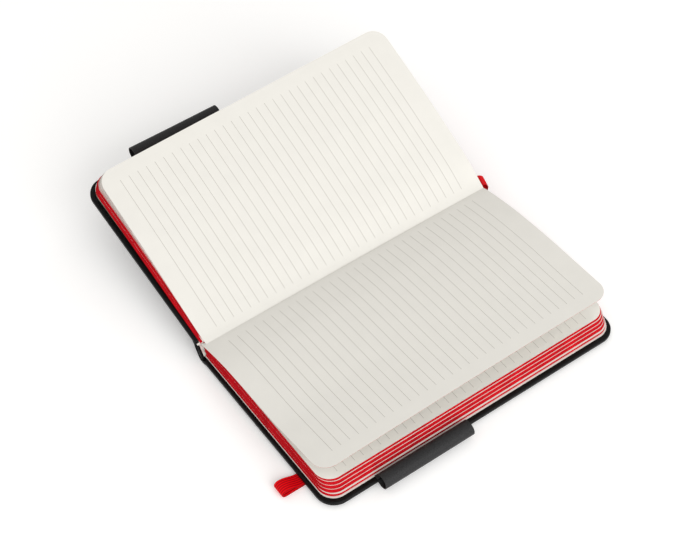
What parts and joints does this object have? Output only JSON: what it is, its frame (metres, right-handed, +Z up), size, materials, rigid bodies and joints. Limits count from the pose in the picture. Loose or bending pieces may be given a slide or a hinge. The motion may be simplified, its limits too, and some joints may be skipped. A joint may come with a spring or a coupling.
{
  "type": "hard-cover ruled notebook",
  "caption": "Hard-cover notebook with rounded corners, red-edged ruled pages, elastic closure band, ribbon marker and a pen loop on each cover, lying open.",
  "frame": {"origin": "under the middle of the open notebook's box, on the table that it lies on", "axes": "+X from the spine to the back cover's fore edge, +Y from foot to head, +Z up"},
  "size_m": [0.2706, 0.2255, 0.0656],
  "materials": {
    "grey_board": "grey binder's board",
    "cover_leatherette": "black smooth leatherette, satin",
    "pen_loop_leatherette": "dark grey leatherette, matte",
    "endpaper": "smooth ivory endpaper",
    "ruled_paper": "ivory writing paper with thin grey ruling",
    "red_edge_paper": "ivory paper with red sprayed edges",
    "elastic_webbing": "red ribbed elastic webbing",
    "ribbon_satin": "red satin ribbon",
    "spine_cloth": "white mull cloth",
    "band_cord": "white rolled band",
    "linen_thread": "white linen thread"
  },
  "bodies": {
    "back_cover": {"back_board": "grey_board", "back_cover_skin": "cover_leatherette", "back_pastedown": "endpaper", "back_flyleaf": "endpaper", "back_pen_loop": "pen_loop_leatherette", "elastic_strap": "elastic_webbing", "signature_6": "red_edge_paper"},
    "signature_5": {"signature_5": "red_edge_paper"},
    "signature_4": {"signature_4": "red_edge_paper"},
    "signature_3": {"signature_3": "red_edge_paper"},
    "signature_2_right": {"signature_2_right": "ruled_paper", "sewing_thread": "linen_thread"},
    "right_leaf": {"right_leaf": "ruled_paper"},
    "spine": {"spine_board": "grey_board", "spine_skin": "cover_leatherette", "spine_lining": "spine_cloth", "headband": "band_cord", "tailband": "band_cord", "ribbon_tab": "ribbon_satin"},
    "front_cover": {"front_board": "grey_board", "front_cover_skin": "cover_leatherette", "front_pastedown": "endpaper", "front_pen_loop": "pen_loop_leatherette"},
    "signature_1": {"signature_1": "red_edge_paper", "front_flyleaf": "endpaper"},
    "signature_2_left": {"signature_2_left": "ruled_paper", "ribbon_marker": "ribbon_satin"},
    "left_leaf": {"left_leaf": "ruled_paper"}
  },
  "joints": [
    {"name": "spine_hinge", "type": "hinge", "parent": "back_cover", "child": "spine", "pos_m": [0.0017, 0.00775, 0.00435], "axis": [0, 1, 0], "range_deg": [0, 35.01]},
    {"name": "front_cover_hinge", "type": "hinge", "parent": "spine", "child": "front_cover", "pos_m": [-0.00449, 0.00775, 0.0132], "axis": [0, 1, 0], "range_deg": [0, 133.7]},
    {"name": "signature_1_fold", "type": "hinge", "parent": "spine", "child": "signature_1", "pos_m": [-0.00449, 0.00775, 0.0132], "axis": [0, 1, 0], "range_deg": [0, 131.01]},
    {"name": "signature_2_left_fold", "type": "hinge", "parent": "spine", "child": "signature_2_left", "pos_m": [-0.00449, 0.00775, 0.0132], "axis": [0, 1, 0], "range_deg": [0, 127.01]},
    {"name": "left_leaf_fold", "type": "hinge", "parent": "spine", "child": "left_leaf", "pos_m": [-0.00449, 0.00775, 0.0132], "axis": [0, 1, 0], "range_deg": [0, 121.01]},
    {"name": "signature_5_slide", "type": "slide", "parent": "back_cover", "child": "signature_5", "axis": [0.9878, 0, -0.156], "range_m": [0, 0.00193]},
    {"name": "signature_4_slide", "type": "slide", "parent": "back_cover", "child": "signature_4", "axis": [0.9829, 0, -0.1843], "range_m": [0, 0.00327]},
    {"name": "signature_3_slide", "type": "slide", "parent": "back_cover", "child": "signature_3", "axis": [0.9806, 0, -0.1961], "range_m": [0, 0.0046]},
    {"name": "signature_2_right_slide", "type": "slide", "parent": "back_cover", "child": "signature_2_right", "axis": [0.9799, 0, -0.1993], "range_m": [0, 0.00603]},
    {"name": "right_leaf_fold", "type": "hinge", "parent": "signature_2_right", "child": "right_leaf", "pos_m": [-0.0025, 0.00775, 0.01305], "axis": [0, 1, 0], "range_deg": [0, 8.51]}
  ],
  "couplings": [
    {"joint": "spine_hinge", "follows": "front_cover_hinge", "ratio": 0.26178},
    {"joint": "signature_1_fold", "follows": "front_cover_hinge", "ratio": 0.97981},
    {"joint": "signature_2_left_fold", "follows": "front_cover_hinge", "ratio": 0.94989},
    {"joint": "left_leaf_fold", "follows": "front_cover_hinge", "ratio": 0.90501},
    {"joint": "signature_5_slide", "follows": "front_cover_hinge", "m_per_rad": 0.00082431},
    {"joint": "signature_4_slide", "follows": "front_cover_hinge", "m_per_rad": 0.0013952},
    {"joint": "signature_3_slide", "follows": "front_cover_hinge", "m_per_rad": 0.0019666},
    {"joint": "signature_2_right_slide", "follows": "front_cover_hinge", "m_per_rad": 0.0025801},
    {"joint": "right_leaf_fold", "follows": "front_cover_hinge", "ratio": 0.063575}
  ]
}
